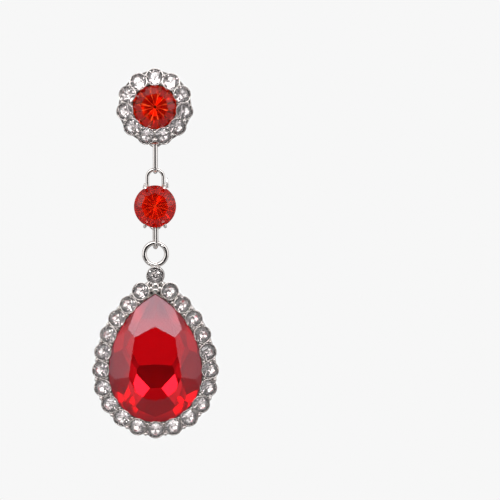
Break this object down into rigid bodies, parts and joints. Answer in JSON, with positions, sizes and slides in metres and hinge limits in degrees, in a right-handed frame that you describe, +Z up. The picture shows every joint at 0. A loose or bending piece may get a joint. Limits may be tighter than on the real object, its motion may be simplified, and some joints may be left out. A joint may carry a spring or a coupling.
{
  "type": "drop earring",
  "caption": "Drop earring: a round stud and a pear-shaped pendant, each a red cut stone in a halo of clear stones, joined by links and a round red stone in a pronged cup.",
  "frame": {"origin": "where the ear post meets the stud's flat back, in the middle of the stud", "axes": "+Z up, along the hanging earring; the stones face -Y; +Y along the post, away from the stones"},
  "size_m": [0.018, 0.0145, 0.0522],
  "materials": {
    "rhodium": "bright plated",
    "orange_red_glass": "polished, foil-backed",
    "deep_red_glass": "polished, foil-backed",
    "clear_glass": "polished, foil-backed"
  },
  "bodies": {
    "stud": {"stud_setting": "rhodium", "stud_stone": "orange_red_glass", "stud_halo_stone_01": "clear_glass", "stud_halo_stone_02": "clear_glass", "stud_halo_stone_03": "clear_glass", "stud_halo_stone_04": "clear_glass", "stud_halo_stone_05": "clear_glass", "stud_halo_stone_06": "clear_glass", "stud_halo_stone_07": "clear_glass", "stud_halo_stone_08": "clear_glass", "stud_halo_stone_09": "clear_glass", "stud_halo_stone_10": "clear_glass", "stud_halo_stone_11": "clear_glass", "ear_post": "rhodium"},
    "upper_link": {"upper_link": "rhodium"},
    "connector": {"connector_setting": "rhodium", "connector_stone": "orange_red_glass"},
    "lower_link": {"lower_link": "rhodium"},
    "drop": {"drop_setting": "rhodium", "drop_stone": "deep_red_glass", "drop_halo_stone_01": "clear_glass", "drop_halo_stone_02": "clear_glass", "drop_halo_stone_03": "clear_glass", "drop_halo_stone_04": "clear_glass", "drop_halo_stone_05": "clear_glass", "drop_halo_stone_06": "clear_glass", "drop_halo_stone_07": "clear_glass", "drop_halo_stone_08": "clear_glass", "drop_halo_stone_09": "clear_glass", "drop_halo_stone_10": "clear_glass", "drop_halo_stone_11": "clear_glass", "drop_halo_stone_12": "clear_glass", "drop_halo_stone_13": "clear_glass", "drop_halo_stone_14": "clear_glass", "drop_halo_stone_15": "clear_glass", "drop_halo_stone_16": "clear_glass", "drop_halo_stone_17": "clear_glass", "drop_halo_stone_18": "clear_glass", "drop_halo_stone_19": "clear_glass", "drop_halo_stone_20": "clear_glass", "drop_halo_stone_21": "clear_glass", "drop_halo_stone_22": "clear_glass"}
  },
  "joints": [
    {"name": "upper_link_swing", "type": "hinge", "parent": "stud", "child": "upper_link", "pos_m": [0, -0.00095, -0.0054], "axis": [1, 0, 0], "range_deg": [-50, 50]},
    {"name": "connector_swing", "type": "hinge", "parent": "upper_link", "child": "connector", "pos_m": [0, -0.00095, -0.00905], "axis": [0, 1, 0], "range_deg": [-60, 60]},
    {"name": "lower_link_swing", "type": "hinge", "parent": "connector", "child": "lower_link", "pos_m": [0, -0.00095, -0.01703], "axis": [1, 0, 0], "range_deg": [-45, 45]},
    {"name": "drop_swing", "type": "hinge", "parent": "lower_link", "child": "drop", "pos_m": [0, -0.00095, -0.01971], "axis": [0, 1, 0], "range_deg": [-60, 60]}
  ]
}
